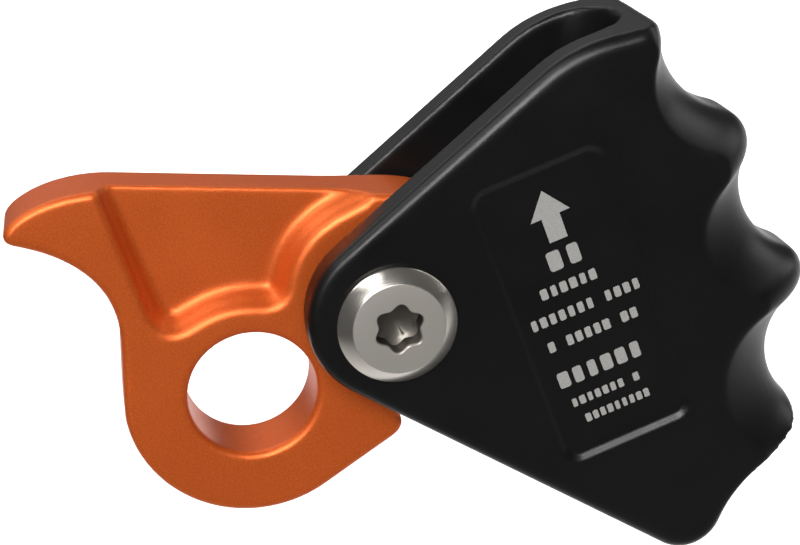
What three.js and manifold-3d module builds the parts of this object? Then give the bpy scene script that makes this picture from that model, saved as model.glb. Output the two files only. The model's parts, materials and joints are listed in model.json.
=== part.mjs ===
// Hand-held rope adjuster: a U-shaped handle body, and a cam lever with a thumb horn and an eye that
// turns between the body's plates and squeezes a rope against the bottom of the body's channel.
// Millimetres. +Z is up the rope, +X runs from the cam to the finger grip, and +Y from the marked plate
// to the plain one. The origin is on the rope's line, level with the pivot.
import * as THREE from "three";
import { mergeVertices } from "three/addons/utils/BufferGeometryUtils.js";
import Module from "manifold-3d";

const wasm = await Module();
wasm.setup();

// ---- driving dimensions ----
const ROPE_X = 39.5;              // from the pivot to the line of the rope
const BODY_WIDTH = 27;            // over both plates
const CHANNEL_WIDTH = 15;         // between the plates
const CHANNEL_BOTTOM_X = 44.5;    // from the pivot to the deepest line of the rope channel
const PLATE_FILLET = 1.6;         // rounding of the plates' outer edges
const CAM_WIDTH = 11.6;
const CAM_EDGE = 1;               // rounding of the cam's edges
const EYE = { x: -23.3, z: -4.9, radius: 9.6, rim: 19 };
const POCKET_DEPTH = 3.6;
const PIVOT_BORE_RADIUS = 5.3;    // in both plates
const SHANK_RADIUS = 5;
const HEAD_RADIUS = 8.75;
const HEAD_FLAT_RADIUS = 6.75;
const HEAD_HEIGHT = 2.2;
const SOCKET = { radius: 3.65, lobe: 0.75, depth: 3.2 };
const THREAD_RADIUS = 3;
const BUSH_RADIUS = 6.3;
const WASHER = { radius: 8.2, bore: 5.3, width: 1.2 };
const GAP = 0.25;                 // between pieces that touch
const LABEL = { x: 26.1, z: -9.5, width: 20, height: 45.5, corner: 2.4, depth: 0.7 };

const HALF_WIDTH = BODY_WIDTH / 2;
const HALF_CHANNEL = CHANNEL_WIDTH / 2;
const ARC_STEP = Math.PI / 14;    // largest turn between two points on a round stretch

// ---- finishes ----
const black = { color: 0x161616, roughness: 0.5, metalness: 0.6 };
const orange = { color: 0xc4541a, roughness: 0.4, metalness: 0.8 };
const steel = { color: 0xb6b1a8, roughness: 0.25, metalness: 1 };
const bronze = { color: 0x9c6b34, roughness: 0.45, metalness: 1 };
const plastic = { color: 0x2a2a2c, roughness: 0.6, metalness: 0 };

// ---- solids ----
function toManifold(geometry) {
  const bare = geometry.index ? geometry.toNonIndexed() : geometry.clone();
  bare.deleteAttribute("normal");
  bare.deleteAttribute("uv");
  const merged = mergeVertices(bare, 1e-4);
  return new wasm.Manifold(new wasm.Mesh({
    numProp: 3,
    vertProperties: new Float32Array(merged.attributes.position.array),
    triVerts: new Uint32Array(merged.index.array),
  }));
}

function toGeometry(solid) {
  const mesh = solid.getMesh();
  const geometry = new THREE.BufferGeometry();
  geometry.setAttribute("position", new THREE.BufferAttribute(mesh.vertProperties, 3));
  geometry.setIndex(new THREE.BufferAttribute(mesh.triVerts, 1));
  geometry.computeVertexNormals();
  return geometry;
}

function cut(geometry, ...tools) {
  let solid = toManifold(geometry);
  for (const tool of tools) solid = solid.subtract(toManifold(tool));
  return toGeometry(solid);
}

// A slab whose outline is drawn in X and Z, from y = low to y = high, with optional rounded edges.
function slab(shape, low, high, edge = 0, edgeSegments = 2) {
  const geometry = new THREE.ExtrudeGeometry(shape, {
    depth: high - low - 2 * edge,
    curveSegments: 1,
    bevelEnabled: edge > 0,
    bevelThickness: edge,
    bevelSize: edge,
    bevelOffset: -edge,
    bevelSegments: edgeSegments,
  });
  geometry.rotateX(Math.PI / 2);
  geometry.translate(0, high - edge, 0);
  return geometry;
}

// Joins rows of points, each a clockwise outline in X and Z with the same number of points, front to back.
function loft(rows) {
  const count = rows[0].length;
  const triangles = [];
  for (let j = 0; j + 1 < rows.length; j++) {
    for (let i = 0; i < count; i++) {
      const a = j * count + i;
      const b = j * count + ((i + 1) % count);
      triangles.push(a, b, a + count, b, b + count, a + count);
    }
  }
  // a triangle that runs counter-clockwise in X and Z faces -Y, as the front cap has to
  const cap = (row, facingFront) => {
    const flat = rows[row].map((p) => new THREE.Vector2(p.x, p.z));
    const start = row * count;
    for (const [a, b, c] of THREE.ShapeUtils.triangulateShape(flat, [])) {
      const keep = THREE.ShapeUtils.area([flat[a], flat[b], flat[c]]) > 0 === facingFront;
      triangles.push(start + a, start + (keep ? b : c), start + (keep ? c : b));
    }
  };
  cap(0, true);
  cap(rows.length - 1, false);
  const geometry = new THREE.BufferGeometry();
  geometry.setAttribute("position", new THREE.Float32BufferAttribute(
    rows.flat().flatMap((p) => [p.x, p.y, p.z]), 3));
  geometry.setIndex(triangles);
  return geometry;
}

// A turned piece on the pivot's axis: profile pairs are [radius, y], listed with y rising.
function turned(profile, segments = 36) {
  return new THREE.LatheGeometry(profile.map(([r, y]) => new THREE.Vector2(r, y)), segments);
}

// ---- outlines made of circles ----
const point = (x, z) => new THREE.Vector2(x, z);
const radians = THREE.MathUtils.degToRad;

function arcPoints(circle, from, to, steps) {
  const points = [];
  for (let i = 0; i <= steps; i++) {
    const angle = from + ((to - from) * i) / steps;
    points.push(point(circle.x + circle.r * Math.cos(angle), circle.z + circle.r * Math.sin(angle)));
  }
  return points;
}

// The circle of radius r that touches circles a and b from outside, on the left of the way from a to b.
function hollowBetween(a, b, r) {
  const dx = b.x - a.x;
  const dz = b.z - a.z;
  const span = Math.hypot(dx, dz);
  const reachA = a.r + r;
  const reachB = b.r + r;
  const along = (reachA * reachA - reachB * reachB + span * span) / (2 * span);
  const away = Math.sqrt(reachA * reachA - along * along);
  return {
    x: a.x + (along * dx) / span - (away * dz) / span,
    z: a.z + (along * dz) / span + (away * dx) / span,
    r,
  };
}

// Angle on circle a of the outer tangent from a to b, walking clockwise round the outline.
function tangentAngle(a, b) {
  const heading = Math.atan2(b.z - a.z, b.x - a.x);
  return heading + Math.acos((a.r - b.r) / Math.hypot(b.x - a.x, b.z - a.z));
}

// Walks clockwise round a ring of circles. Neighbours are joined by a straight tangent, or by a hollow
// arc where a circle has a hollow radius. Each stretch gets the same number of steps on every call, so
// two rings with the same steps can be joined point by point.
function ringOutline(circles, steps) {
  const count = circles.length;
  const hollows = circles.map((c, i) =>
    c.hollow ? hollowBetween(c, circles[(i + 1) % count], c.hollow) : null);
  const toward = (from, to) => Math.atan2(to.z - from.z, to.x - from.x);
  const stretches = [];
  circles.forEach((c, i) => {
    const before = (i + count - 1) % count;
    const next = circles[(i + 1) % count];
    const start = hollows[before] ? toward(c, hollows[before]) : tangentAngle(circles[before], c);
    let end = hollows[i] ? toward(c, hollows[i]) : tangentAngle(c, next);
    while (end > start) end -= 2 * Math.PI;
    stretches.push(arcPoints(c, start, end, steps[i].round));
    if (hollows[i]) {
      const h = hollows[i];
      const first = toward(h, c);
      let last = toward(h, next);
      while (last < first) last += 2 * Math.PI;
      stretches.push(arcPoints(h, first, last, steps[i].hollow).slice(1, -1));
    }
  });
  return stretches;
}

// ---- body ----
// Ring of circles of the outline at mid-width, clockwise from the pivot end.
// hollow is the radius of the finger scallop that follows the circle.
const BODY_RING = [
  { name: "pivot_end", x: 0.4, z: 0.45, r: 13 },
  { name: "crest", x: 39.7, z: 3.9, r: 23.2 },
  { name: "top_lobe", x: 47.9, z: 23, r: 3.1, hollow: 15.6 },
  { name: "upper_lobe", x: 55.2, z: 3.2, r: 4.1, hollow: 13.4 },
  { name: "middle_lobe", x: 58.1, z: -20.5, r: 3.5, hollow: 12.7 },
  { name: "lower_lobe", x: 51, z: -41.9, r: 2.3, hollow: 24 },
  { name: "tip", x: 30.4, z: -48.6, r: 6.5 },
];

// The same ring on the flat of the plates, where the finger grip's rounding has taken its share.
const FACE_RING = [
  { x: 0.4, z: 0.45, r: 11.5 },
  { x: 39.7, z: 3.9, r: 21.2 },
  { x: 45.9, z: 22.4, r: 2.2, hollow: 11 },
  { x: 49.6, z: 2, r: 3.2, hollow: 9.8 },
  { x: 50.2, z: -20.4, r: 2.2, hollow: 12.6 },
  { x: 43, z: -44.2, r: 2, hollow: 30 },
  { x: 30.4, z: -48.6, r: 4.8 },
];
const RING_STEPS = [
  { round: 16 },
  { round: 7 },
  { round: 8, hollow: 10 },
  { round: 10, hollow: 10 },
  { round: 10, hollow: 10 },
  { round: 10, hollow: 6 },
  { round: 8 },
];
const FILLET_STEPS = 4;
const GRIP_ROUND = 10.5;            // depth of the finger grip's rounding from each plate's face

// How deep the rounding goes from the flat face, at each stretch of the ring: the finger grip has a deep
// round, and the open edges of the plates have a small fillet.
function roundingDepths(stretches) {
  const full = GRIP_ROUND;
  const spans = [
    [PLATE_FILLET, PLATE_FILLET],   // pivot end
    [PLATE_FILLET, 2],              // crest
    [2, full],                      // top lobe
    [full, full], [full, full], [full, full], [full, full], [full, full],
    [full, 5],                      // lower lobe
    [5, 2.4],                       // hollow above the tip
    [2.4, PLATE_FILLET],            // tip
  ];
  const table = [];
  stretches.forEach((points, i) => {
    const [from, to] = spans[i];
    points.forEach((_, k) => {
      const t = points.length > 1 ? k / (points.length - 1) : 0;
      table.push(from + (to - from) * (t * t * (3 - 2 * t)));
    });
  });
  return table;
}

function bodyBlock() {
  const stretches = ringOutline(BODY_RING, RING_STEPS);
  const outer = stretches.flat();
  const face = ringOutline(FACE_RING, RING_STEPS).flat();
  const depths = roundingDepths(stretches);
  const rows = [];
  for (const side of [-1, 1]) {
    for (let j = 0; j <= FILLET_STEPS; j++) {
      const turn = ((side < 0 ? FILLET_STEPS - j : j) * Math.PI) / 2 / FILLET_STEPS;
      rows.push(outer.map((p, i) => {
        const at = face[i].clone().lerp(p, Math.cos(turn));
        const y = side * (HALF_WIDTH - depths[i] * (1 - Math.sin(turn)));
        return new THREE.Vector3(at.x, y, at.y);
      }));
    }
  }
  return loft(rows);
}

function channelTool() {
  const far = 80;
  const centre = CHANNEL_BOTTOM_X - HALF_CHANNEL;
  const shape = new THREE.Shape([
    point(-far, HALF_CHANNEL),
    point(-far, -HALF_CHANNEL),
    ...arcPoints({ x: centre, z: 0, r: HALF_CHANNEL }, -Math.PI / 2, Math.PI / 2, 14),
  ]);
  const geometry = new THREE.ExtrudeGeometry(shape, { depth: 2 * far, bevelEnabled: false });
  geometry.translate(0, 0, -far);
  return geometry;
}

function labelTool() {
  const { x, z, width, height, corner, depth } = LABEL;
  const w = width / 2 - corner;
  const h = height / 2 - corner;
  const at = (cx, cz, from) =>
    arcPoints({ x: x + cx, z: z + cz, r: corner }, from, from + Math.PI / 2, 4);
  const shape = new THREE.Shape([
    ...at(w, h, 0),
    ...at(-w, h, Math.PI / 2),
    ...at(-w, -h, Math.PI),
    ...at(w, -h, 1.5 * Math.PI),
  ]);
  return slab(shape, -HALF_WIDTH - 1, -HALF_WIDTH + depth);
}

function boreTool(radius, halfLength, segments = 36) {
  return turned([[0, -halfLength], [radius, -halfLength], [radius, halfLength], [0, halfLength]],
    segments);
}

function bodyShell() {
  return cut(bodyBlock(), channelTool(), labelTool(), boreTool(PIVOT_BORE_RADIUS, 20));
}

// ---- cam ----
const NOSE = { start: -8, end: -42, radius: 33.5, growth: 0.497 };   // degrees below level, spiral
const TEETH = { count: 6, depth: 0.7 };

// The gripping face is a spiral that grows below level, so a harder pull on the eye squeezes harder.
function noseRadius(degrees) {
  return NOSE.radius * Math.exp(NOSE.growth * radians(NOSE.start - degrees));
}

// Points along a cubic curve from a to d, pulled towards b and c, without its first point.
function bezier(a, b, c, d, steps) {
  return new THREE.CubicBezierCurve(a, b, c, d).getPoints(steps).slice(1);
}

function camOutline() {
  const polar = (degrees, r) => point(r * Math.cos(radians(degrees)), r * Math.sin(radians(degrees)));
  const rim = { x: EYE.x, z: EYE.z, r: EYE.rim };
  const rimFrom = Math.PI * 0.93;
  const rimTo = Math.PI * 1.57;
  const hornRoot = point(-29.7, 32);
  const noseTop = polar(NOSE.start, noseRadius(NOSE.start));
  const noseTip = polar(NOSE.end, noseRadius(NOSE.end));
  const outline = [hornRoot];
  // over the horn to its tip, and back along the thumb's hollow
  outline.push(...bezier(hornRoot, point(-34.5, 34.2), point(-40.5, 34.9), point(-44.3, 33.3), 7));
  outline.push(...bezier(point(-44.3, 33.3), point(-46.3, 32.4), point(-46.8, 31.1), point(-45, 29.9), 4));
  outline.push(...bezier(point(-45, 29.9), point(-37.9, 24.9), point(-34.9, 18.4), point(-37.3, 11.4), 9));
  // down to the eye's rim and round it
  const rimArc = arcPoints(rim, rimFrom, rimTo, Math.ceil((rimTo - rimFrom) / ARC_STEP));
  outline.push(...bezier(point(-37.3, 11.4), point(-38.5, 7.8), point(-40.2, 4), rimArc[0], 4));
  outline.push(...rimArc.slice(1));
  // the foot, then along the hidden lower edge to the nose
  outline.push(...bezier(point(-6.6, -20.5), point(-5, -20), point(-4, -18.8), point(-4.6, -17.6), 3));
  outline.push(...bezier(point(-4.6, -17.6), point(2, -14.5), point(18, -19), point(30.8, -31), 7));
  outline.push(...bezier(point(30.8, -31), point(31.9, -32), point(33, -31.6), noseTip, 2));
  for (let i = 1; i <= TEETH.count * 2; i++) {
    const degrees = NOSE.end + ((NOSE.start - NOSE.end) * i) / (TEETH.count * 2);
    outline.push(polar(degrees, noseRadius(degrees) - (i % 2 ? TEETH.depth : 0)));
  }
  // back over the hub
  outline.push(...bezier(noseTop, point(31, 2), point(17, 8.6), point(10.4, 13.45), 6));
  outline.push(...bezier(point(10.4, 13.45), point(7.6, 15.4), point(4, 16.5), point(-1.6, 19), 5));
  return outline;
}

// The pocket is open at the cam's top edge and its walls lean out towards the front face.
function pocketTool() {
  const rim = [point(4.5, 30), point(4.5, 17)];
  rim.push(point(2.5, 16.3), point(-1.4, 16));
  rim.push(...bezier(point(-1.4, 16), point(-8, 15.2), point(-11, 11.8), point(-12.9, 8.4), 7));
  rim.push(...bezier(point(-12.9, 8.4), point(-14, 6.9), point(-15.3, 6.9), point(-17.2, 7.8), 4));
  rim.push(...bezier(point(-17.2, 7.8), point(-20.5, 9.4), point(-23.5, 9.9), point(-28.4, 8.9), 6));
  rim.push(...bezier(point(-28.4, 8.9), point(-31, 8.9), point(-32.2, 10.6), point(-32, 14), 5));
  rim.push(point(-31, 40));
  const face = -CAM_WIDTH / 2;
  const row = (inset, y) => rim.map((p, i) => {
    const before = rim[(i + rim.length - 1) % rim.length];
    const after = rim[(i + 1) % rim.length];
    const along = after.clone().sub(before).normalize();
    return new THREE.Vector3(p.x + along.y * inset, y, p.y - along.x * inset);
  });
  return loft([row(-0.4, face - 1), row(0.1, face), row(1.5, face + POCKET_DEPTH)]);
}

function camArm() {
  const shape = new THREE.Shape(camOutline());
  const hole = new THREE.Path(arcPoints({ x: EYE.x, z: EYE.z, r: EYE.radius }, 0, 2 * Math.PI, 36));
  shape.holes.push(hole);
  const half = CAM_WIDTH / 2;
  return cut(slab(shape, -half, half, CAM_EDGE), pocketTool(), boreTool(BUSH_RADIUS + GAP, 10));
}

// ---- pivot ----
// Six-lobed socket: a wave round the circle, open at the head's flat.
function socketTool() {
  const shape = new THREE.Shape();
  const steps = 36;
  for (let i = 0; i < steps; i++) {
    const angle = (2 * Math.PI * i) / steps;
    const r = SOCKET.radius - SOCKET.lobe * (1 - Math.cos(6 * angle)) / 2;
    const p = point(r * Math.cos(angle), r * Math.sin(angle));
    if (i) shape.lineTo(p.x, p.y);
    else shape.moveTo(p.x, p.y);
  }
  const flat = -HALF_WIDTH - GAP - HEAD_HEIGHT;
  return slab(shape, flat - 1, flat + SOCKET.depth);
}

function pivotBolt() {
  const under = -HALF_WIDTH - GAP;
  const flat = under - HEAD_HEIGHT;
  const shoulder = HALF_CHANNEL - GAP;
  const profile = [
    [0, flat], [HEAD_FLAT_RADIUS, flat], [HEAD_RADIUS, flat + 1.5], [HEAD_RADIUS, under],
    [SHANK_RADIUS, under], [SHANK_RADIUS, shoulder], [THREAD_RADIUS, shoulder + 0.6],
    [THREAD_RADIUS, HALF_WIDTH + 1], [0, HALF_WIDTH + 1],
  ];
  return cut(turned(profile), socketTool());
}

function pivotNut() {
  const under = HALF_WIDTH + GAP;
  const top = under + HEAD_HEIGHT;
  const bore = THREAD_RADIUS + GAP;
  const foot = HALF_CHANNEL + 1;
  const floor = HALF_WIDTH + 1 + GAP;
  return turned([
    [0, floor], [bore, floor], [bore, foot], [SHANK_RADIUS, foot], [SHANK_RADIUS, under],
    [HEAD_RADIUS, under], [HEAD_RADIUS, top - 1.5], [HEAD_FLAT_RADIUS, top], [0, top],
  ]);
}

function sleeve(inner, outer, low, high) {
  return turned([[inner, low], [outer, low], [outer, high], [inner, high], [inner, low]]);
}

function camBushing() {
  const half = CAM_WIDTH / 2;
  return sleeve(SHANK_RADIUS + GAP, BUSH_RADIUS, -half, half);
}

function thrustWasher(side) {
  const near = CAM_WIDTH / 2 + GAP;
  const far = near + WASHER.width;
  return sleeve(WASHER.bore, WASHER.radius, Math.min(side * near, side * far),
    Math.max(side * near, side * far));
}

// ---- assembly ----
function piece(name, geometry, finish) {
  const mesh = new THREE.Mesh(geometry, new THREE.MeshStandardMaterial(finish));
  mesh.name = name;
  return mesh;
}

const group = new THREE.Group();
const aboutPivot = new THREE.Group();
aboutPivot.position.x = -ROPE_X;
group.add(aboutPivot);
aboutPivot.add(
  piece("body_shell", bodyShell(), black),
  piece("cam_arm", camArm(), orange),
  piece("pivot_bolt", pivotBolt(), steel),
  piece("pivot_nut", pivotNut(), steel),
  piece("cam_bushing", camBushing(), bronze),
  piece("thrust_washer_front", thrustWasher(-1), plastic),
  piece("thrust_washer_rear", thrustWasher(1), plastic),
);

export default group;
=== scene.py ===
# %% [markdown]
# # A rope adjuster with a thumb cam
# The real object is a black aluminium handle, shaped like a U around a rope, and an orange cam lever
# that turns on one stainless bolt. Pushing the horn up with the thumb frees the rope; pulling down on
# the eye squeezes it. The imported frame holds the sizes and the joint, and this script makes the fine
# surfaces: soft blasted edges, the milled pocket, the six-lobed bolt, the printed panel, the finishes.

# %% Load the frame
import json
import math

import bmesh
import bpy
from mathutils import Matrix, Vector


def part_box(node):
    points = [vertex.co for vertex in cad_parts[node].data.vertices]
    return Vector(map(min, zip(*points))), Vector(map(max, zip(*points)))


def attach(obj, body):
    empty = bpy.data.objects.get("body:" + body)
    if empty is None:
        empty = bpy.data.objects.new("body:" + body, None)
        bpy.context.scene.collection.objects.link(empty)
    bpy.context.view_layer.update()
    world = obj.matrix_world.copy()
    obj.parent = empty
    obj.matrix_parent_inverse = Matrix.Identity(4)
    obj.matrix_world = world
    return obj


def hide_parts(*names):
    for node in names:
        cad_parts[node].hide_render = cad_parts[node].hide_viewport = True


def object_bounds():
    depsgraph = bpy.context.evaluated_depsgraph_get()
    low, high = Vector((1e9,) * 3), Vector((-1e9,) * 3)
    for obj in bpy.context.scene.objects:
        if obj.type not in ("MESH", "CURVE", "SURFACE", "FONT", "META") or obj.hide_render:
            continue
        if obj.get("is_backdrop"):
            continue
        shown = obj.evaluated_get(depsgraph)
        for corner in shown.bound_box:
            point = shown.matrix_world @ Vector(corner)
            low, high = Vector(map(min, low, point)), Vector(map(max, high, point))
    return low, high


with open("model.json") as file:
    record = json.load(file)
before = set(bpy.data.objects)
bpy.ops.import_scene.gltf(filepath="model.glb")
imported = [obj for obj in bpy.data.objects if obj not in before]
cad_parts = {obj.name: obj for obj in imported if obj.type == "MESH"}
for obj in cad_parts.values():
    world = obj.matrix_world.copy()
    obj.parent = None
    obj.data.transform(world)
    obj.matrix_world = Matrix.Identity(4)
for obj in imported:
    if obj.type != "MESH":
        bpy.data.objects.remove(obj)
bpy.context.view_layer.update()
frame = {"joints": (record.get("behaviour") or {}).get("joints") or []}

pivot = Vector(frame["joints"][0]["pos_m"])

# %% [markdown]
# ## Working units
# Every outline below is drawn in millimetres about the pivot, because the parts are small and all of
# them turn round or hang on that bolt. `to_metres` then puts the finished mesh at its place in the
# frame, in metres, so that each object stays at the origin, unturned and unscaled.

# %% Units, and the step from millimetres to the frame
MM = 0.001
to_metres = Matrix.Translation(pivot) @ Matrix.Scale(MM, 4)


def in_mm(node):
    """Half sizes of a CAD node in millimetres: x, y, z."""
    low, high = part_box(node)
    return [(high[i] - low[i]) / 2 / MM for i in range(3)]


HALF_WIDTH = in_mm("body_shell")[1]
HALF_CAM = in_mm("cam_arm")[1]
HEAD_RADIUS = in_mm("pivot_bolt")[0]
print(f"handle {2 * HALF_WIDTH:.1f} mm wide, cam {2 * HALF_CAM:.1f} mm, bolt head {2 * HEAD_RADIUS:.1f} mm")

# %% [markdown]
# ## Outlines made of circles
# The handle's side view is a ring of circles: one round the pivot, one for each finger lobe, one for the
# tip. Neighbours are joined by a straight tangent, or by a hollow arc where a finger lies. A ring like
# this needs few numbers, stays smooth everywhere, and two rings with the same steps can be joined point
# by point. Hand-drawn spline points would give the same outline with more numbers and more wobble.

# %% Arcs, tangents and hollows
def arc(circle, start, end, steps):
    """Points (x, z) on a circle (x, z, radius) from one angle to another."""
    x, z, radius = circle
    angles = [start + (end - start) * i / steps for i in range(steps + 1)]
    return [(x + radius * math.cos(a), z + radius * math.sin(a)) for a in angles]


def heading(a, b):
    return math.atan2(b[1] - a[1], b[0] - a[0])


def tangent_angle(a, b):
    """Where the outer tangent towards circle b leaves circle a, going clockwise."""
    return heading(a, b) + math.acos((a[2] - b[2]) / math.hypot(b[0] - a[0], b[1] - a[1]))


def hollow_between(a, b, radius):
    """The circle that touches a and b from outside, on the left of the way from a to b."""
    dx, dz = b[0] - a[0], b[1] - a[1]
    span = math.hypot(dx, dz)
    reach_a, reach_b = a[2] + radius, b[2] + radius
    along = (reach_a**2 - reach_b**2 + span**2) / (2 * span)
    away = math.sqrt(reach_a**2 - along**2)
    return (a[0] + (along * dx - away * dz) / span, a[1] + (along * dz + away * dx) / span, radius)


def ring_outline(circles, hollows, steps):
    """Stretches of points, clockwise. hollows[i] is the hollow's radius after circle i, or None."""
    count = len(circles)
    following = [circles[(i + 1) % count] for i in range(count)]
    dips = [h and hollow_between(c, n, h) for c, n, h in zip(circles, following, hollows)]
    stretches = []
    for i, circle in enumerate(circles):
        before = (i - 1) % count
        start = heading(circle, dips[before]) if dips[before] else tangent_angle(circles[before], circle)
        end = heading(circle, dips[i]) if dips[i] else tangent_angle(circle, following[i])
        while end > start:
            end -= 2 * math.pi
        stretches.append(arc(circle, start, end, steps))
        if dips[i]:
            first, last = heading(dips[i], circle), heading(dips[i], following[i])
            while last < first:
                last += 2 * math.pi
            stretches.append(arc(dips[i], first, last, steps)[1:-1])
    return stretches


def bezier(a, b, c, d, steps):
    """Points on a cubic curve from a to d, pulled towards b and c, without its first point."""
    points = []
    for i in range(1, steps + 1):
        t = i / steps
        w = ((1 - t) ** 3, 3 * t * (1 - t) ** 2, 3 * t * t * (1 - t), t**3)
        points.append(tuple(sum(k * p[j] for k, p in zip(w, (a, b, c, d))) for j in (0, 1)))
    return points


# %% [markdown]
# ## Mesh tools
# Three moves make every solid here. A *loft* joins rows of points and caps its two ends. A *turned* piece
# spins a profile round the pivot. A *cut* takes one solid out of another with the Manifold boolean, which
# is exact and quick on closed meshes. Blasted parts have no knife edges, so after the cuts the handle
# and the cam are rebuilt on a fine even grid (voxel remesh) and smoothed a little: the tools carry the
# designed fillets, and the grid rounds what is left by about half a millimetre.

# %% Lofts, turned pieces, cuts and the soft rebuild
def new_object(name, mesh):
    piece = bpy.data.objects.new(name, mesh)
    bpy.context.scene.collection.objects.link(piece)
    return piece


def mesh_object(name, vertices, faces):
    mesh = bpy.data.meshes.new(name)
    mesh.from_pydata(vertices, [], faces)
    work = bmesh.new()
    work.from_mesh(mesh)
    bmesh.ops.remove_doubles(work, verts=work.verts, dist=1e-5)
    bmesh.ops.triangulate(work, faces=[f for f in work.faces if len(f.verts) > 4])
    bmesh.ops.recalc_face_normals(work, faces=work.faces)
    work.to_mesh(mesh)
    work.free()
    return new_object(name, mesh)


def loft(name, rows):
    """Rows of (x, y, z) points with the same count, closed with a cap at each end."""
    count = len(rows[0])
    vertices = [p for row in rows for p in row]
    faces = [tuple(range(count)), tuple(range(len(vertices) - 1, len(vertices) - count - 1, -1))]
    for j in range(len(rows) - 1):
        for i in range(count):
            a, b = j * count + i, j * count + (i + 1) % count
            faces.append((a, a + count, b + count, b))
    return mesh_object(name, vertices, faces)


def turned(name, profile, segments=128, centre=(0, 0)):
    """A piece of revolution about Y. The profile is (radius, y) pairs, and it ends on the axis or closes."""
    rows = []
    for k in range(segments):
        a = 2 * math.pi * k / segments
        rows.append([(centre[0] + r * math.cos(a), y, centre[1] + r * math.sin(a)) for r, y in profile])
    count = len(profile)
    vertices = [p for row in rows for p in row]
    ring = profile[0] == profile[-1]
    faces = []
    for k in range(segments):
        following = (k + 1) % segments
        for i in range(count - 1):
            faces.append((k * count + i, k * count + i + 1, following * count + i + 1, following * count + i))
    if not ring and profile[0][0] > 0:
        raise ValueError(f"{name}: the profile has to close or end on the axis")
    return mesh_object(name, vertices, faces)


def bake_modifiers(piece):
    """Turns the evaluated object into its plain mesh and drops the modifiers."""
    graph = bpy.context.evaluated_depsgraph_get()
    piece.data = bpy.data.meshes.new_from_object(piece.evaluated_get(graph))
    piece.modifiers.clear()
    return piece


def discard(*pieces):
    for piece in pieces:
        bpy.data.objects.remove(piece, do_unlink=True)


def cut(piece, tool):
    """Takes the tool out of the piece and removes the tool."""
    step = piece.modifiers.new("cut", "BOOLEAN")
    step.operation, step.solver, step.object = "DIFFERENCE", "MANIFOLD", tool
    bake_modifiers(piece)
    discard(tool)
    return piece


def soften(piece, grid, rounds):
    """Rebuilds the surface on an even grid, then rounds off what is sharper than the grid."""
    rebuild = piece.modifiers.new("rebuild", "REMESH")
    rebuild.mode, rebuild.voxel_size = "VOXEL", grid
    relax = piece.modifiers.new("relax", "SMOOTH")
    relax.factor, relax.iterations = 0.5, rounds
    return bake_modifiers(piece)


def finish_mesh(piece, sharp_degrees):
    """Shades the piece smooth except at edges sharper than the angle, and puts it at its place."""
    mesh = piece.data
    mesh.transform(to_metres)
    mesh.shade_smooth()
    mesh.set_sharp_from_angle(angle=math.radians(sharp_degrees))
    mesh.update()
    print(f"{piece.name}: {sum(len(f.vertices) - 2 for f in mesh.polygons)} triangles")
    return piece


# %% [markdown]
# ## Geometry Nodes from a script
# What repeats by a rule, such as grooves and printed blocks, is left to Geometry Nodes. A tree has named
# inputs for its sizes. `run_tree` sets them and turns the result into a plain mesh, so nothing live is
# left on the finished object.

# %% Geometry Nodes helpers
def node_tree(name, sockets):
    tree = bpy.data.node_groups.new(name, "GeometryNodeTree")
    for label, kind, value in sockets:
        made = tree.interface.new_socket(label, in_out="INPUT", socket_type=kind)
        if value is not None:
            made.default_value = value
    tree.interface.new_socket("Geometry", in_out="OUTPUT", socket_type="NodeSocketGeometry")
    return tree


def add(tree, kind, **settings):
    node = tree.nodes.new(kind)
    for key, value in settings.items():
        setattr(node, key, value)
    return node


def run_tree(name, tree, values):
    """A plain mesh object with what the tree makes. Inputs are found by name and set by identifier."""
    piece = new_object(name, bpy.data.meshes.new(name))
    step = piece.modifiers.new(name, "NODES")
    step.node_group = tree
    known = {s.name: s.identifier for s in tree.interface.items_tree if s.in_out == "INPUT"}
    for label, value in values.items():
        step[known[label]] = value
    return bake_modifiers(piece)


# %% [markdown]
# ## Finishes
# Each finish is a Principled shader. Its base colour, roughness and bump come from noise or rings in
# object coordinates, in metres, so a grain of 0.2 mm needs a scale of thousands. Blasted and anodised
# metal is an even satin with a fine grain. The black is so dark that its shape shows only by what its
# surface reflects. The orange is partly metallic, because its dye lies over bare metal and tints what
# the metal reflects.

# %% Shader helpers
def new_finish(name, colour, metallic, roughness, specular=0.5):
    finish = bpy.data.materials.new(name)
    finish.use_nodes = True
    nodes = finish.node_tree.nodes
    shader = nodes["Principled BSDF"]
    shader.inputs["Base Color"].default_value = (*colour, 1)
    shader.inputs["Metallic"].default_value = metallic
    shader.inputs["Roughness"].default_value = roughness
    shader.inputs["Specular IOR Level"].default_value = specular
    finish.diffuse_color = (*colour, 1)
    return finish, finish.node_tree, shader


def object_noise(tree, scale, detail=2.0):
    place = tree.nodes.new("ShaderNodeTexCoord").outputs["Object"]
    noise = tree.nodes.new("ShaderNodeTexNoise")
    noise.inputs["Scale"].default_value = scale
    noise.inputs["Detail"].default_value = detail
    tree.links.new(place, noise.inputs["Vector"])
    return noise.outputs["Fac"]


def spread(tree, value, low, high, start=0.3, end=0.7):
    """Maps the middle of a noise onto a range."""
    node = tree.nodes.new("ShaderNodeMapRange")
    limits = {"From Min": start, "From Max": end, "To Min": low, "To Max": high}
    for key, number in limits.items():
        node.inputs[key].default_value = number
    tree.links.new(value, node.inputs["Value"])
    return node.outputs["Result"]


def tint(tree, value, dark, light):
    node = tree.nodes.new("ShaderNodeMix")
    node.data_type = "RGBA"
    node.inputs["A"].default_value = (*dark, 1)
    node.inputs["B"].default_value = (*light, 1)
    tree.links.new(value, node.inputs["Factor"])
    return node.outputs["Result"]


def add_bump(tree, shader, value, strength, height):
    node = tree.nodes.new("ShaderNodeBump")
    node.inputs["Strength"].default_value = strength
    node.inputs["Distance"].default_value = height
    tree.links.new(value, node.inputs["Height"])
    tree.links.new(node.outputs["Normal"], shader.inputs["Normal"])


# %% Blasted and anodised aluminium, black and orange
BROAD_PATCHES = 90    # noise scale of the slow changes in roughness, about a centimetre apart


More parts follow.
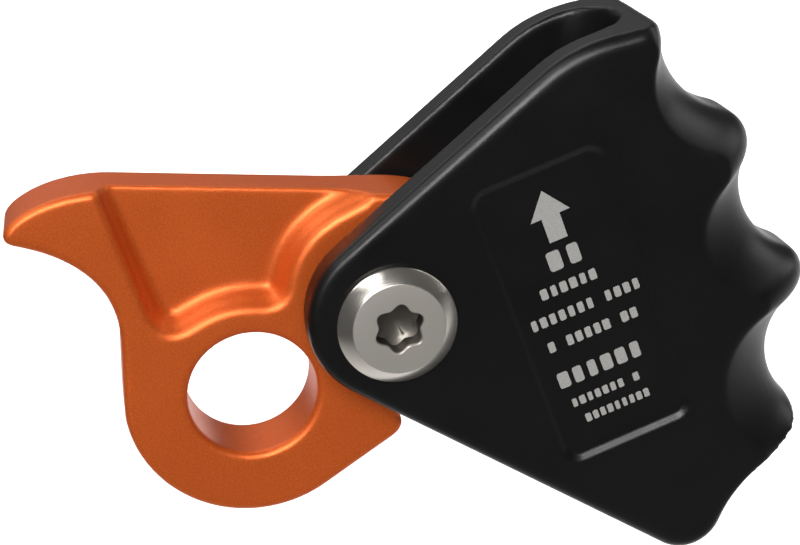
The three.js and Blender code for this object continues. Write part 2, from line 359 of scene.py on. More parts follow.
def blasted(name, dark, light, metallic, rough_low, rough_high, specular, grain, height):
    finish, tree, shader = new_finish(name, light, metallic, rough_high, specular)
    fine = object_noise(tree, grain, detail=3)
    broad = object_noise(tree, BROAD_PATCHES, detail=4)
    tree.links.new(tint(tree, spread(tree, fine, 0, 1), dark, light), shader.inputs["Base Color"])
    tree.links.new(spread(tree, broad, rough_low, rough_high), shader.inputs["Roughness"])
    add_bump(tree, shader, fine, 0.35, height)
    return finish


black_anodised = blasted(
    "black_anodised", dark=(0.0018, 0.0018, 0.0018), light=(0.0032, 0.0032, 0.0032), metallic=0.0,
    rough_low=0.32, rough_high=0.4, specular=0.25, grain=3200, height=0.00004)
orange_anodised = blasted(
    "orange_anodised", dark=(0.50, 0.080, 0.010), light=(0.62, 0.115, 0.016), metallic=0.6,
    rough_low=0.4, rough_high=0.48, specular=0.5, grain=3600, height=0.00006)
print("blasted finishes:", black_anodised.name, orange_anodised.name)

# %% [markdown]
# ## The handle's block
# Two rings share their steps: one is the outline at mid-width, the other is the edge of the flat side
# face. Between them the section is a rounding like a quarter of an ellipse. Along the open edges of the
# plates it is a small fillet of 1.6 mm. Along the finger grip it goes 10.5 mm deep, which leaves a 6 mm
# band of the outline at mid-width, and makes the scallops sweep over the side face.

# %% Rings of the handle
PLATE_FILLET = 1.6
MIDDLE_RING = {
    "pivot_end": (0.4, 0.45, 12.95),
    "crest": (39.7, 3.9, 23.2),
    "top_lobe": (47.9, 23, 3.1),
    "upper_lobe": (55.2, 3.2, 4.1),
    "middle_lobe": (58.1, -20.5, 3.5),
    "lower_lobe": (51, -41.9, 2.3),
    "tip": (30.4, -48.6, 6.4),
}
FACE_RING = [
    (0.4, 0.45, 11.5), (39.7, 3.9, 21.2), (45.9, 22.4, 2.2), (49.6, 2, 3.2),
    (50.2, -20.4, 2.2), (43, -44.2, 2), (30.4, -48.6, 4.8),
]
MIDDLE_HOLLOWS = [None, None, 15.6, 13.4, 12.7, 24, None]
FACE_HOLLOWS = [None, None, 11, 9.8, 12.6, 30, None]
RING_STEPS = 28
FILLET_STEPS = 12

# %% Depth of the rounding along the ring
GRIP_ROUND = 10.5
# The power that shapes the section. Above 1 it keeps the section close to the flat face for longer, and
# it grows with the depth.
POWER_BASE, POWER_PER_MM = 1.3, 0.055
ROUNDING = [          # from, to, for each stretch of the ring
    (PLATE_FILLET, PLATE_FILLET),           # pivot end
    (PLATE_FILLET, 2),                      # crest
    (2, GRIP_ROUND),                        # top lobe
    *[(GRIP_ROUND, GRIP_ROUND)] * 5,        # scallops and lobes of the grip
    (GRIP_ROUND, 5),                        # lower lobe
    (5, 2.4),                               # hollow above the tip
    (2.4, PLATE_FILLET),                    # tip
]


def rounding_along(stretches):
    depths = []
    for (start, end), points in zip(ROUNDING, stretches):
        for k in range(len(points)):
            t = k / (len(points) - 1)
            depths.append(start + (end - start) * t * t * (3 - 2 * t))
    return depths


def handle_block():
    stretches = ring_outline(list(MIDDLE_RING.values()), MIDDLE_HOLLOWS, RING_STEPS)
    middle = [p for points in stretches for p in points]
    face = [p for points in ring_outline(FACE_RING, FACE_HOLLOWS, RING_STEPS) for p in points]
    depths = rounding_along(stretches)
    rows = []
    for side in (-1, 1):
        for j in range(FILLET_STEPS + 1):
            turn = math.pi / 2 * (FILLET_STEPS - j if side < 0 else j) / FILLET_STEPS
            row = []
            for m, f, depth in zip(middle, face, depths):
                y = side * (HALF_WIDTH - depth * (1 - math.sin(turn)))
                share = math.cos(turn) ** (POWER_BASE + POWER_PER_MM * depth)
                row.append((f[0] + (m[0] - f[0]) * share, y, f[1] + (m[1] - f[1]) * share))
            rows.append(row)
    return loft("handle", rows)


# %% [markdown]
# ## The rope channel, the label panel and the pivot holes
# The channel is a round-bottomed slot along the rope. It is cut before the soft rebuild, so its edges
# come out gently rounded, as blasting leaves them. The panel's step is a soft S and is cut afterwards,
# with a tool whose wall has that shape, because the grid would wash out something so shallow. The pivot
# holes are cut last and stay crisp.

# %% Cut the handle
HALF_CHANNEL = 7.5
CHANNEL_BOTTOM = 44.5
CHANNEL_MOUTH = 3.6   # how far the channel's bottom has bent back 12 mm above the start of the bend
MOUTH_START, MOUTH_LENGTH, MOUTH_POWER = 15, 12, 2.2
PANEL = {"x": 26.1, "z": -9.5, "width": 20, "height": 45.5, "corner": 2.4, "depth": 0.7}
PANEL_WALL = 1.5      # width of the panel's sloping step
PIVOT_HOLE = 5.3
HANDLE_GRID = 0.46


def channel_tool():
    """The bottom is straight along the rope, and bends away from it where the channel leaves the top."""
    rows = []
    for z in (-90, 0, 15, 18, 20, 22, 24, 25.5, 27, 28.5, 30):
        bend = CHANNEL_MOUTH * max(0, (z - MOUTH_START) / MOUTH_LENGTH) ** MOUTH_POWER
        centre = (CHANNEL_BOTTOM - HALF_CHANNEL + bend, 0, HALF_CHANNEL)
        section = [(-80, HALF_CHANNEL), (-80, -HALF_CHANNEL)] + arc(centre, -math.pi / 2, math.pi / 2, 48)
        rows.append([(x, y, z) for x, y in section])
    return loft("channel", rows)


def rounded_panel(grow):
    """Corner arcs of the label panel, grown outwards."""
    w, h = PANEL["width"] / 2 + grow, PANEL["height"] / 2 + grow
    radius = PANEL["corner"] + grow
    points = []
    for k, (sx, sz) in enumerate(((1, 1), (-1, 1), (-1, -1), (1, -1))):
        corner = (PANEL["x"] + sx * (w - radius), PANEL["z"] + sz * (h - radius), radius)
        points += arc(corner, k * math.pi / 2, (k + 1) * math.pi / 2, 12)
    return points


def panel_tool():
    """The wall is an S: a round at the face, a slope, and a round along the floor."""
    steps = [(PANEL_WALL + 1, -1)]
    for k in range(11):
        t = k / 10
        depth = PANEL["depth"] * (1 - math.cos(math.pi * t)) / 2
        steps.append((PANEL_WALL * (0.5 - t), depth if k else -0.01))
    rows = [[(x, -HALF_WIDTH + y, z) for x, z in rounded_panel(grow)] for grow, y in steps]
    return loft("panel", rows)


def hole_tool(radius, reach=30):
    """A plain drill through the whole part, on the pivot's axis."""
    return turned("hole", [(0, -reach), (radius, -reach), (radius, reach), (0, reach)])


handle = cut(handle_block(), channel_tool())
soften(handle, HANDLE_GRID, rounds=8)
cut(handle, panel_tool())
cut(handle, hole_tool(PIVOT_HOLE))
finish_mesh(handle, sharp_degrees=40)

# %% [markdown]
# ## The cam lever
# The cam is one thick plate: horn, eye, hub and the gripping nose in one outline. Its edges have a 1 mm
# round, so it is lofted in rows that step in along a quarter circle. The eye's mouth has the same round,
# and it sits in the tool that cuts the eye.

# %% Outline of the cam
EYE = (-23.3, -4.9, 9.6)
EYE_RIM = (-23.3, -4.9, 19)
NOSE_START, NOSE_END = math.radians(-8), math.radians(-42)
NOSE_RADIUS, NOSE_GROWTH = 33.5, 0.497


def nose_point(angle):
    """The gripping face: a spiral that grows below level."""
    radius = NOSE_RADIUS * math.exp(NOSE_GROWTH * (NOSE_START - angle))
    return radius * math.cos(angle), radius * math.sin(angle)


def nose_points(steps):
    return [nose_point(NOSE_END + (NOSE_START - NOSE_END) * i / steps) for i in range(steps + 1)]


def cam_outline():
    horn_root = (-29.7, 32)
    rim = arc(EYE_RIM, math.pi * 0.93, math.pi * 1.57, 60)
    nose = nose_points(40)
    points = [horn_root]
    points += bezier(horn_root, (-34.5, 34.2), (-40.5, 34.8), (-44.3, 33.3), 24)
    points += bezier((-44.3, 33.3), (-46.3, 32.4), (-46.8, 31.1), (-45, 29.9), 16)
    points += bezier((-45, 29.9), (-37.9, 24.9), (-34.9, 18.4), (-37.3, 11.4), 32)
    points += bezier((-37.3, 11.4), (-38.5, 7.8), (-40.2, 4), rim[0], 14)
    points += rim[1:]
    points += bezier((-6.6, -20.5), (-5, -20), (-4, -18.8), (-4.6, -17.6), 12)
    points += bezier((-4.6, -17.6), (2, -14.5), (18, -19), (30.8, -31), 30)
    points += bezier((30.8, -31), (31.9, -32), (33, -31.6), nose[0], 8)
    points += nose[1:]
    points += bezier(nose[-1], (31, 2), (17, 8.6), (10.4, 13.45), 26)
    points += bezier((10.4, 13.45), (7.6, 15.4), (4, 16.5), (-1.6, 19), 18)
    return points


def inset(points, distance):
    """Moves each point of an outline into the shape, whichever way the outline runs."""
    pairs = list(zip(points, points[1:] + points[:1]))
    turn = distance * math.copysign(1, sum(a[0] * b[1] - a[1] * b[0] for a, b in pairs))
    moved = []
    for i, (x, z) in enumerate(points):
        before, after = points[i - 1], points[(i + 1) % len(points)]
        along = Vector((after[0] - before[0], after[1] - before[1])).normalized()
        moved.append((x - along.y * turn, z + along.x * turn))
    return moved


# %% Solid of the cam, and the eye
CAM_EDGE = 1.0
EYE_MOUTH = 1


def rounded_slab(name, outline, half, edge, steps=6):
    rows = []
    for side in (-1, 1):
        for j in range(steps + 1):
            turn = math.pi / 2 * (steps - j if side < 0 else j) / steps
            y = side * (half - edge * (1 - math.sin(turn)))
            rows.append([(x, y, z) for x, z in inset(outline, edge * (1 - math.cos(turn)))])
    return loft(name, rows)


def eye_tool():
    radius = EYE[2]
    profile = [(0, -HALF_CAM - 1), (radius + EYE_MOUTH + 1, -HALF_CAM - 1)]
    for side in (-1, 1):
        for j in range(9):
            turn = math.pi / 2 * (8 - j if side < 0 else j) / 8
            y = side * (HALF_CAM - EYE_MOUTH * (1 - math.sin(turn)))
            profile.append((radius + EYE_MOUTH * (1 - math.cos(turn)), y))
    profile += [(radius + EYE_MOUTH + 1, HALF_CAM + 1), (0, HALF_CAM + 1)]
    return turned("eye", profile, centre=EYE[:2])


# %% [markdown]
# ## The milled pocket
# One side of the cam is hollowed to save weight. The cutter leaves a round along the floor, walls that
# lean out, and a rounded edge at the face. All three are in the tool: its rows go in along an arc at the
# face, down a leaning wall, and in again along the floor's round.

# %% Pocket tool
POCKET_DEPTH = 3.6
LIP = 1.6                                     # radius of the round at the face
LIP_TURN = math.radians(72)                   # how far that round turns before the wall takes over
FLOOR_ROUND = 2.0                             # radius of the round along the floor
FLOOR_FROM, FLOOR_TURN = math.radians(20), math.radians(70)
WALL_LEAN = 0.75                              # how far in the wall stands where the floor's round begins
ROUND_STEPS = 6


def pocket_rim():
    points = [(-31, 42), (4.5, 32), (4.5, 17), (2.5, 16.3), (-1.4, 16)]
    points += bezier((-1.4, 16), (-8, 15.2), (-11, 11.8), (-12.9, 8.4), 26)
    points += bezier((-12.9, 8.4), (-14, 6.9), (-15.3, 6.9), (-17.2, 7.8), 14)
    points += bezier((-17.2, 7.8), (-20.5, 9.4), (-23.5, 9.9), (-28.4, 8.9), 20)
    points += bezier((-28.4, 8.9), (-31, 8.9), (-32.2, 10.6), (-32, 14), 14)
    return points


def pocket_tool():
    face = -HALF_CAM
    steps = [(-LIP - 0.6, face - 1.2), (-LIP, face - 0.05)]
    for j in range(1, ROUND_STEPS + 1):
        turn = LIP_TURN * j / ROUND_STEPS
        steps.append((-LIP + LIP * math.sin(turn), face + LIP * (1 - math.cos(turn))))
    bottom = face + POCKET_DEPTH
    for j in range(ROUND_STEPS + 1):
        turn = FLOOR_FROM + FLOOR_TURN * j / ROUND_STEPS
        wall = WALL_LEAN + FLOOR_ROUND * (1 - math.cos(turn))
        steps.append((wall, bottom - FLOOR_ROUND * (1 - math.sin(turn))))
    return loft("pocket", [[(x, y, z) for x, z in inset(pocket_rim(), d)] for d, y in steps])


# %% [markdown]
# ## The grooves of the nose
# The nose bites the rope with a few shallow grooves across it. They follow the same spiral as the nose,
# so Geometry Nodes place them: a line of points, each moved to its place on the spiral, and a round bar
# on every point. The bars are then cut out of the cam, as a round cutter would do.

# %% Bars along the spiral
GROOVES = {"Count": 6, "Bar radius": 1.7, "Bar length": 40.0, "Depth": 0.62, "Start": NOSE_START,
           "End": NOSE_END, "Radius": NOSE_RADIUS, "Growth": NOSE_GROWTH}


def calculate(tree, operation, *values):
    """One maths node. Each value is a number or another node's output."""
    node = add(tree, "ShaderNodeMath", operation=operation)
    for socket, value in zip(node.inputs, values):
        if isinstance(value, (int, float)):
            socket.default_value = value
        else:
            tree.links.new(value, socket)
    return node.outputs[0]


def groove_tree():
    kinds = {"Count": "NodeSocketInt"}
    tree = node_tree("nose_grooves", [(label, kinds.get(label, "NodeSocketFloat"), value)
                                      for label, value in GROOVES.items()]
                     + [("Finish", "NodeSocketMaterial", None)])
    link = tree.links.new
    given = add(tree, "NodeGroupInput").outputs
    line = add(tree, "GeometryNodeMeshLine", mode="OFFSET")
    link(given["Count"], line.inputs["Count"])
    index = add(tree, "GeometryNodeInputIndex").outputs[0]
    share = calculate(tree, "DIVIDE", calculate(tree, "ADD", index, 0.5), given["Count"])
    turn = calculate(tree, "MULTIPLY", share, calculate(tree, "SUBTRACT", given["End"], given["Start"]))
    grown = calculate(tree, "EXPONENT", calculate(tree, "MULTIPLY", given["Growth"],
                                                  calculate(tree, "MULTIPLY", turn, -1)))
    outside = calculate(tree, "SUBTRACT", given["Bar radius"], given["Depth"])
    reach = calculate(tree, "ADD", calculate(tree, "MULTIPLY", given["Radius"], grown), outside)
    angle = calculate(tree, "ADD", given["Start"], turn)
    spot = add(tree, "ShaderNodeCombineXYZ")
    link(calculate(tree, "MULTIPLY", reach, calculate(tree, "COSINE", angle)), spot.inputs["X"])
    link(calculate(tree, "MULTIPLY", reach, calculate(tree, "SINE", angle)), spot.inputs["Z"])
    move = add(tree, "GeometryNodeSetPosition")
    link(line.outputs[0], move.inputs["Geometry"])
    link(spot.outputs[0], move.inputs["Position"])
    bar = add(tree, "GeometryNodeMeshCylinder", fill_type="NGON")
    bar.inputs["Vertices"].default_value = 40
    link(given["Bar radius"], bar.inputs["Radius"])
    link(given["Bar length"], bar.inputs["Depth"])
    place = add(tree, "GeometryNodeInstanceOnPoints")
    link(move.outputs[0], place.inputs["Points"])
    link(bar.outputs[0], place.inputs["Instance"])
    place.inputs["Rotation"].default_value = (math.pi / 2, 0, 0)
    real = add(tree, "GeometryNodeRealizeInstances")
    link(place.outputs[0], real.inputs[0])
    finish = add(tree, "GeometryNodeSetMaterial")
    link(real.outputs[0], finish.inputs["Geometry"])
    link(given["Finish"], finish.inputs["Material"])
    link(finish.outputs[0], add(tree, "NodeGroupOutput").inputs["Geometry"])
    return tree


# %% Cut the cam
BUSH_BORE = 6.55
CAM_GRID = 0.34

cam = rounded_slab("cam_lever", cam_outline(), HALF_CAM, CAM_EDGE)
cut(cam, eye_tool())
cut(cam, pocket_tool())
cut(cam, run_tree("groove_bars", groove_tree(), {**GROOVES, "Finish": orange_anodised}))
cam.data.materials.clear()
soften(cam, CAM_GRID, rounds=8)
cut(cam, hole_tool(BUSH_BORE))
finish_mesh(cam, sharp_degrees=40)

# %% [markdown]
# ## The bolt and the nut
# The bolt is turned stainless bar: a low head with a wide polished cone round a flat face, and a
# six-lobed socket for the key. A turned profile gives the head; the socket is a loft whose wavy outline
# shrinks to a point, like the drill point at the bottom of the real one.

# %% Head profile and socket
SHANK = 5.0
HEAD_FLAT = 6.85
HEAD_HEIGHT = 2.2
SEAT = 0.02           # keeps touching pieces from sharing a surface
SOCKET = {"radius": 3.7, "wave": 0.7, "depth": 3.2, "point": 0.5, "turn": math.radians(5.5)}


def head_profile(face, out):
    """(radius, y) from the centre of the flat to the underside. out is +1 or -1 along Y."""
    top = face + out * HEAD_HEIGHT
    soft = [(HEAD_FLAT - 0.35, 0), (HEAD_FLAT - 0.12, 0.03), (HEAD_FLAT, 0.12)]
    points = [(0, top)] + [(r, top - out * d) for r, d in soft]
    points += [(HEAD_RADIUS - 0.1, face + out * 0.75), (HEAD_RADIUS, face + out * 0.6)]
    points += [(HEAD_RADIUS, face + out * 0.12), (HEAD_RADIUS - 0.1, face)]
    return points


def lobed(radius, wave, count=144):
    points = []
    for k in range(count):
        a = 2 * math.pi * k / count
        r = radius - wave * (1 - math.cos(6 * (a - SOCKET["turn"]))) / 2
        points.append((r * math.cos(a), r * math.sin(a)))
    return points


def socket_tool(top):
    radius, wave = SOCKET["radius"], SOCKET["wave"]
    steps = [
        (radius + 0.5, wave, top - 0.5), (radius + 0.12, wave, top + 0.02), (radius, wave, top + 0.16),
        (radius - 0.04, wave, top + SOCKET["depth"]),
        (radius - wave - 0.35, 0.15, top + SOCKET["depth"] + 0.25),
        (radius - wave - 0.5, 0.05, top + SOCKET["depth"] + 0.3),
        (0.05, 0, top + SOCKET["depth"] + 0.3 + SOCKET["point"]),   # the drill point
    ]
    return loft("socket", [[(x, y, z) for x, z in lobed(r, w)] for r, w, y in steps])


def pivot_bolt():
    face = -HALF_WIDTH - SEAT
    profile = head_profile(face, -1) + [
        (SHANK, face), (SHANK, 7.2), (3, 7.8), (3, HALF_WIDTH + 1), (0, HALF_WIDTH + 1)]
    bolt = turned("bolt", profile)
    return cut(bolt, socket_tool(face - HEAD_HEIGHT))


# %% The sleeve nut behind the handle
def pivot_nut():
    face = HALF_WIDTH + SEAT
    bore, foot, floor = 3.25, 8.5, HALF_WIDTH + 1.25
    outside = head_profile(face, 1)[::-1]
    profile = [(0, floor), (bore, floor), (bore, foot), (SHANK, foot), (SHANK, face)] + outside
    return turned("nut", profile)


bolt = finish_mesh(pivot_bolt(), sharp_degrees=28)
nut = finish_mesh(pivot_nut(), sharp_degrees=28)

# %% [markdown]
# ## The printed panel
# The real panel has an arrow for the rope's direction and rows of small print. The arrow is a common
# sign, so it stays. The words are left out: plain blocks in the same rows keep the look of a printed
# label without saying anything. Each row repeats one block along a line, so Geometry Nodes make it: a
# line of points, a few points dropped for the gaps between words, and a block on each point.

# %% A node tree for one printed row
PRINT_THICKNESS = 0.05


def printed_row_tree():
    tree = node_tree("printed_row", [
        ("Blocks", "NodeSocketInt", 8), ("Pitch", "NodeSocketFloat", 1.5),
        ("Block width", "NodeSocketFloat", 1.1), ("Block height", "NodeSocketFloat", 1.6),
        ("Corner", "NodeSocketFloat", 0.3), ("Thickness", "NodeSocketFloat", PRINT_THICKNESS),
        ("Gap share", "NodeSocketFloat", 0.12), ("Seed", "NodeSocketInt", 1),
        ("Ink", "NodeSocketMaterial", None)])
    link = tree.links.new
    given = add(tree, "NodeGroupInput").outputs
    line = add(tree, "GeometryNodeMeshLine", mode="OFFSET")
    step = add(tree, "ShaderNodeCombineXYZ")
    link(given["Pitch"], step.inputs["X"])
    link(given["Blocks"], line.inputs["Count"])
    link(step.outputs[0], line.inputs["Offset"])
    # drop a few points for the spaces between words
    chance = add(tree, "FunctionNodeRandomValue", data_type="BOOLEAN")
    link(given["Gap share"], chance.inputs["Probability"])
    link(given["Seed"], chance.inputs["Seed"])
    thin = add(tree, "GeometryNodeDeleteGeometry", domain="POINT")
    link(line.outputs[0], thin.inputs["Geometry"])
    link(chance.outputs[3], thin.inputs["Selection"])
    # one block: a rounded rectangle, given a thickness and a back
    shape = add(tree, "GeometryNodeCurvePrimitiveQuadrilateral")
    link(given["Block width"], shape.inputs["Width"])
    link(given["Block height"], shape.inputs["Height"])
    fillet = add(tree, "GeometryNodeFilletCurve", mode="POLY")
    fillet.inputs["Count"].default_value = 3
    link(shape.outputs[0], fillet.inputs["Curve"])
    link(given["Corner"], fillet.inputs["Radius"])
    fill = add(tree, "GeometryNodeFillCurve", mode="NGONS")
    link(fillet.outputs[0], fill.inputs[0])
    rise = add(tree, "GeometryNodeExtrudeMesh")
    link(fill.outputs[0], rise.inputs["Mesh"])
    link(given["Thickness"], rise.inputs["Offset Scale"])
    back = add(tree, "GeometryNodeFlipFaces")
    link(fill.outputs[0], back.inputs[0])
    block = add(tree, "GeometryNodeJoinGeometry")
    link(rise.outputs[0], block.inputs[0])
    link(back.outputs[0], block.inputs[0])
    closed = add(tree, "GeometryNodeMergeByDistance")
    closed.inputs["Distance"].default_value = 0.001
    link(block.outputs[0], closed.inputs[0])
    # blocks of slightly different widths, as letters have
    width = add(tree, "FunctionNodeRandomValue", data_type="FLOAT_VECTOR")
    width.inputs["Min"].default_value = (0.72, 1, 1)
    width.inputs["Max"].default_value = (1.0, 1, 1)
    link(given["Seed"], width.inputs["Seed"])
    place = add(tree, "GeometryNodeInstanceOnPoints")
    link(thin.outputs[0], place.inputs["Points"])
    link(closed.outputs[0], place.inputs["Instance"])
    link(width.outputs[0], place.inputs["Scale"])
    real = add(tree, "GeometryNodeRealizeInstances")
    link(place.outputs[0], real.inputs[0])
    ink = add(tree, "GeometryNodeSetMaterial")
    link(real.outputs[0], ink.inputs["Geometry"])
    link(given["Ink"], ink.inputs["Material"])
    link(ink.outputs[0], add(tree, "NodeGroupOutput").inputs["Geometry"])
    return tree


# %% [markdown]
# ## Steel, bronze, plastic and ink
# The steel finish knows the head's shape. The cone is polished, the flat face is duller with fine turned
# rings round the bolt's axis, and the inside of the socket is painted darker, as painted shade in the
# recess. The others are plain: a little noise in colour and roughness.

# %% Turned stainless steel, bronze, acetal and ink
def distance_from_axis(tree, vector):
    """Distance from the bolt's axis, which runs along Y."""
    flat = tree.nodes.new("ShaderNodeVectorMath")
    flat.operation = "MULTIPLY"
    flat.inputs[1].default_value = (1, 0, 1)
    tree.links.new(vector, flat.inputs[0])
    length = tree.nodes.new("ShaderNodeVectorMath")
    length.operation = "LENGTH"
    tree.links.new(flat.outputs[0], length.inputs[0])
    return length.outputs["Value"]


STEEL = (0.70, 0.66, 0.60)
# painted shade: the darker colour given to the inside of the socket
SOCKET_SHADE_STEEL = (0.13, 0.12, 0.105)
HEAD_TOP = (HALF_WIDTH + SEAT + HEAD_HEIGHT) * MM


def turned_steel():
    """Polished cone, duller turned face, and painted shade inside the socket."""
    finish, tree, shader = new_finish("turned_steel", STEEL, 1.0, 0.25)
    spot = tree.nodes.new("ShaderNodeTexCoord").outputs["Object"]
    centre = tree.nodes.new("ShaderNodeMapping")
    centre.inputs["Location"].default_value = (-pivot.x, -pivot.y, -pivot.z)
    tree.links.new(spot, centre.inputs["Vector"])
    rings = tree.nodes.new("ShaderNodeTexWave")
    rings.wave_type, rings.rings_direction = "RINGS", "Y"
    rings.inputs["Scale"].default_value = 900
    rings.inputs["Distortion"].default_value = 0.6
    rings.inputs["Detail"].default_value = 3
    tree.links.new(centre.outputs["Vector"], rings.inputs["Vector"])
    away = distance_from_axis(tree, centre.outputs["Vector"])
    flat_edge = HEAD_FLAT * MM
    dull = spread(tree, away, 0.44, 0.22, start=flat_edge - 0.0002, end=flat_edge)
    tree.links.new(dull, shader.inputs["Roughness"])
    # inside the socket and below the head's top the base colour is darkened: painted shade in the recess
    socket_edge = (SOCKET["radius"] + SOCKET["wave"]) * MM
    beside = spread(tree, away, 0, 1, start=socket_edge - 0.0001, end=socket_edge + 0.0001)
    parts = tree.nodes.new("ShaderNodeSeparateXYZ")
    tree.links.new(centre.outputs["Vector"], parts.inputs[0])
    out = calculate(tree, "ABSOLUTE", parts.outputs["Y"])
    above = spread(tree, out, 0, 1, start=HEAD_TOP - 0.0008, end=HEAD_TOP - 0.0001)
    unshaded = calculate(tree, "MAXIMUM", beside, above)
    tree.links.new(tint(tree, unshaded, SOCKET_SHADE_STEEL, STEEL), shader.inputs["Base Color"])
    add_bump(tree, shader, rings.outputs["Fac"], 0.12, 0.00001)
    return finish


def plain(name, dark, light, metallic, roughness, grain):
    finish, tree, shader = new_finish(name, light, metallic, roughness)
    noise = object_noise(tree, grain, detail=3)
    tree.links.new(tint(tree, spread(tree, noise, 0, 1), dark, light), shader.inputs["Base Color"])
    tree.links.new(spread(tree, noise, roughness - 0.04, roughness + 0.05), shader.inputs["Roughness"])
    add_bump(tree, shader, noise, 0.2, 0.00002)
    return finish


steel = turned_steel()
bronze = plain("bearing_bronze", (0.30, 0.15, 0.045), (0.40, 0.22, 0.08), 1.0, 0.38, 1500)
acetal = plain("acetal", (0.018, 0.018, 0.02), (0.03, 0.03, 0.033), 0.0, 0.45, 2000)
ink = plain("pale_ink", (0.225, 0.22, 0.21), (0.285, 0.28, 0.265), 0.0, 0.6, 5000)
print("finishes:", [m.name for m in (black_anodised, orange_anodised, steel, bronze, acetal, ink)])

# %% [markdown]
# ## Print the panel
# The arrow and the rows lie on the panel's floor, 0.05 mm thick, about as thick as heavy ink.

# %% Arrow and rows
PANEL_FLOOR = -HALF_WIDTH + PANEL["depth"]
ROWS = [   # centre x, centre z, width, block height, blocks, seed
    (26.0, -0.9, 6.0, 3.1, 2, 3),
    (25.2, -5.2, 9.2, 1.7, 6, 4),
    (26.5, -9.3, 17.6, 1.7, 12, 8),
    (26.3, -13.5, 14.6, 1.7, 10, 2),
    (25.5, -19.2, 13.8, 2.6, 6, 6),
    (25.7, -23.4, 12.4, 1.4, 10, 5),
    (26.0, -26.6, 10.6, 1.4, 9, 12),
]
ARROW = {"x": 26.1, "tip": 9.9, "neck": 5.8, "foot": 1.9, "head": 3.05, "shaft": 1.4}


def arrow():
    x, head, shaft = ARROW["x"], ARROW["head"], ARROW["shaft"]
    right = [(0, ARROW["tip"]), (head, ARROW["neck"]), (shaft, ARROW["neck"]), (shaft, ARROW["foot"])]
    left = [(-a, b) for a, b in right[:0:-1]]
    outline = [(x + a, b) for a, b in right + left]
    floor = PANEL_FLOOR - 0.01
    return loft("arrow", [[(a, y, b) for a, b in outline] for y in (floor - PRINT_THICKNESS, floor)])


def printed_rows():
    tree = printed_row_tree()
    made = []
    for k, (x, z, width, height, blocks, seed) in enumerate(ROWS):
        pitch = width / blocks
        values = {"Blocks": blocks, "Pitch": pitch, "Block width": pitch * 0.78, "Block height": height,
                  "Corner": 0.16 * height, "Thickness": PRINT_THICKNESS, "Seed": seed, "Ink": ink,
                  "Gap share": 0.14 if blocks > 4 else 0.0}
        row = run_tree(f"row_{k + 1}", tree, values)
        lift = Matrix.Translation((x - width / 2 + pitch / 2, PANEL_FLOOR - 0.01, z))
        row.data.transform(lift @ Matrix.Rotation(math.radians(90), 4, "X"))
        made.append(row)
    return made


def join(name, pieces):
    """One mesh from several, without using the selection."""
    work = bmesh.new()
    for piece in pieces:
        work.from_mesh(piece.data)
    mesh = bpy.data.meshes.new(name)
    work.to_mesh(mesh)
    work.free()
    discard(*pieces)
    return new_object(name, mesh)


marks = finish_mesh(join("printed_marks", [arrow()] + printed_rows()), sharp_degrees=40)

# %% [markdown]
# ## The small turned pieces
# Bush and washers are plain rings with broken edges, made with the same turned helper as the bolt.

# %% Bush and washers
def ring_piece(name, inner, outer, low, high, edge=0.15):
    profile = [
        (inner + edge, low), (outer - edge, low), (outer, low + edge), (outer, high - edge),
        (outer - edge, high), (inner + edge, high), (inner, high - edge), (inner, low + edge),
        (inner + edge, low)]
    return finish_mesh(turned(name, profile, segments=96), sharp_degrees=25)


WASHER_THICKNESS, WASHER_RADIUS = 1.2, 8.2
BUSH_PLAY, WASHER_PLAY = 0.03, 0.2
washer_rise = (HALF_CHANNEL - HALF_CAM - WASHER_THICKNESS) / 2
bush = ring_piece("bush", SHANK + BUSH_PLAY, BUSH_BORE - BUSH_PLAY, -HALF_CAM, HALF_CAM)
washers = []
for side, name in ((-1, "washer_front"), (1, "washer_rear")):
    near, far = sorted((side * (HALF_CAM + washer_rise), side * (HALF_CHANNEL - washer_rise)))
    washers.append(ring_piece(name, SHANK + WASHER_PLAY, WASHER_RADIUS, near, far))

# %% [markdown]
# ## Tell the frame what rides on what
# The handle and everything clamped to it ride on "handle"; the cam and its bush ride on "cam". Each fine
# piece stands for the plain CAD solid that the motion tests keep.

# %% Rides, replacements and slots
PIECES = [
    (handle, "handle", "body_shell", "handle_black", black_anodised),
    (cam, "cam", "cam_arm", "cam_orange", orange_anodised),
    (bolt, "handle", "pivot_bolt", "pivot_steel", steel),
    (nut, "handle", "pivot_nut", "pivot_steel", steel),
    (bush, "cam", "cam_bushing", "bush_bronze", bronze),
    (washers[0], "handle", "thrust_washer_front", "washer_plastic", acetal),
    (washers[1], "handle", "thrust_washer_rear", "washer_plastic", acetal),
    (marks, "handle", None, None, ink),
]
for piece, body, node, slot_name, finish in PIECES:
    piece.data.materials.clear()
    piece.data.materials.append(finish)
    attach(piece, body)
    if node:
        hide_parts(node)
print("pieces:", [entry[0].name for entry in PIECES])

# %% [markdown]
# ## Floor, light and camera
# The floor is a wide pale plane, set well below the part because a rope would be holding it up. A very
# large roof behind the part lights the floor, a narrow key light in front and above draws the edges, and
# three cards lift the tops, the rear and the right: satin black shows its shape only by what its rounded
# edges reflect.

# %% Floor
def floor_plane(drop, size):
    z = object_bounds()[0].z - drop
    corners = [(-size, -size, z), (size, -size, z), (size, size, z), (-size, size, z)]
    floor = mesh_object("floor", corners, [(0, 1, 2, 3)])
    finish, tree, shader = new_finish("pale_floor", (0.9, 0.9, 0.9), 0.0, 0.9)
    grain = object_noise(tree, 3)
    tree.links.new(spread(tree, grain, 0.85, 0.95), shader.inputs["Roughness"])
    floor.data.materials.append(finish)
    floor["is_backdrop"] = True


floor_plane(drop=0.5, size=9)

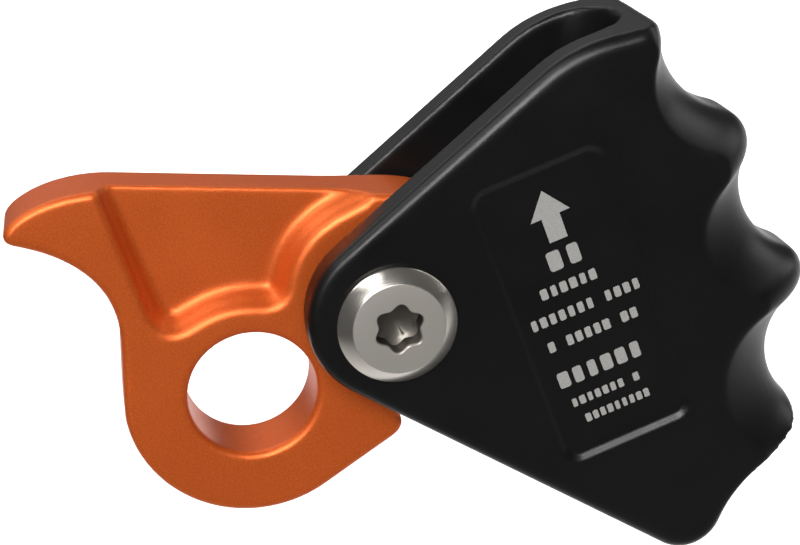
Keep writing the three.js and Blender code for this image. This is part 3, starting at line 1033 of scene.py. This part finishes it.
# %% Lights
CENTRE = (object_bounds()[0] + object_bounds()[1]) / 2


def soft_box(name, away, width, height, watts, level=False, spread=180):
    """A rectangular light at a place relative to the part, facing it, or facing straight down."""
    light = bpy.data.lights.new(name, "AREA")
    light.shape, light.size, light.size_y = "RECTANGLE", width, height
    light.energy, light.spread = watts, math.radians(spread)
    lamp = bpy.data.objects.new(name, light)
    bpy.context.scene.collection.objects.link(lamp)
    lamp.location = CENTRE + Vector(away)
    if not level:
        lamp.rotation_euler = (-Vector(away)).to_track_quat("-Z", "Y").to_euler()


soft_box("tent_roof", (0.1, 3.0, 1.3), 4, 4.6, 116, level=True, spread=110)
soft_box("key_box", (-0.1, -0.85, 0.6), 1.0, 0.3, 2.3, spread=50)
soft_box("upper_card", (-0.25, -0.25, 0.86), 0.7, 0.3, 3.0)
soft_box("back_card", (0.05, 1.0, 0.45), 1.8, 0.5, 0.8)
soft_box("right_box", (0.9, 0.1, 0.25), 0.3, 0.8, 2)

WORLD_STRENGTH = 0.1
world = bpy.data.worlds.new("studio")
world.use_nodes = True
world.node_tree.nodes["Background"].inputs["Color"].default_value = (1, 1, 1, 1)
world.node_tree.nodes["Background"].inputs["Strength"].default_value = WORLD_STRENGTH
bpy.context.scene.world = world
bpy.context.scene.view_settings.view_transform = "Standard"

# %% [markdown]
# ## The camera
# The view is from above and a little to the cam's side, close enough for some perspective, and the
# camera is rolled so that the rope's line leans to the left.

# %% Camera
VIEW_AZIMUTH, VIEW_ELEVATION, VIEW_ROLL = -2.8, 22.26, 21.98
VIEW_DISTANCE = 0.2592
VIEW_TARGET = pivot + Vector((0.0038, 0, 0.0016))
LENS_MM = 77.85


def set_camera():
    a, e, roll = (math.radians(v) for v in (VIEW_AZIMUTH, VIEW_ELEVATION, VIEW_ROLL))
    back = Vector((math.sin(a) * math.cos(e), -math.cos(a) * math.cos(e), math.sin(e)))
    right = Vector((0, 0, 1)).cross(back).normalized()
    up = back.cross(right)
    right, up = (math.cos(roll) * right - math.sin(roll) * up, math.cos(roll) * up + math.sin(roll) * right)
    view = bpy.data.cameras.new("view")
    view.lens, view.sensor_width = LENS_MM, 36
    view.clip_start, view.clip_end = 0.01, 50
    camera = bpy.data.objects.new("view", view)
    bpy.context.scene.collection.objects.link(camera)
    turn = Matrix((right, up, back)).transposed().to_4x4()
    camera.matrix_world = Matrix.Translation(VIEW_TARGET + back * VIEW_DISTANCE) @ turn
    bpy.context.scene.camera = camera


set_camera()
